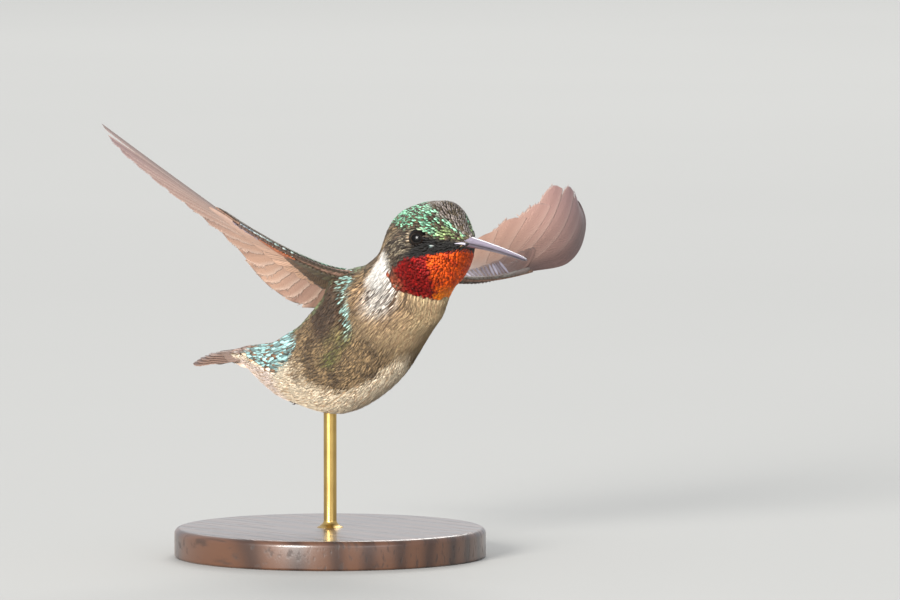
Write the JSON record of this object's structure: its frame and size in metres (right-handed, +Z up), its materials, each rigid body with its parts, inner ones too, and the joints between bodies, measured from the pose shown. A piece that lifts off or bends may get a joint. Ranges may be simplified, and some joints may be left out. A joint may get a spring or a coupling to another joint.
{
  "type": "hummingbird model on display stand",
  "caption": "Life-size male ruby-throated hummingbird in hovering flight, wings raised and bill level, held over a round wooden base by one short rod.",
  "frame": {"origin": "centre of the underside of the stand's base, on the floor", "axes": "+X the way the bird's body faces, +Y its left, +Z up"},
  "size_m": [0.0772, 0.088, 0.0674],
  "materials": {
    "crown_feathers": "iridescent green scale-like feathers, bronze between them",
    "collar_feathers": "soft off-white streaked feathers",
    "body_feathers": "soft mottled olive-brown feathers, cream below",
    "tail_feathers": "smooth purplish-brown vanes with green coverts",
    "wing_feathers": "smooth thin tan-brown vanes",
    "eye": "glossy black",
    "bill": "satin grey-black horn",
    "leg": "dull dark scaly skin",
    "stand_wood": "satin varnished dark wood",
    "stand_metal": "satin brass"
  },
  "bodies": {
    "root": {"head": "crown_feathers", "neck": "collar_feathers", "torso": "body_feathers", "tail": "tail_feathers", "wing_right": "wing_feathers", "wing_left": "wing_feathers", "eye_right": "eye", "eye_left": "eye", "bill": "bill", "leg_right": "leg", "leg_left": "leg", "stand_base": "stand_wood", "stand_rod": "stand_metal"}
  },
  "joints": []
}
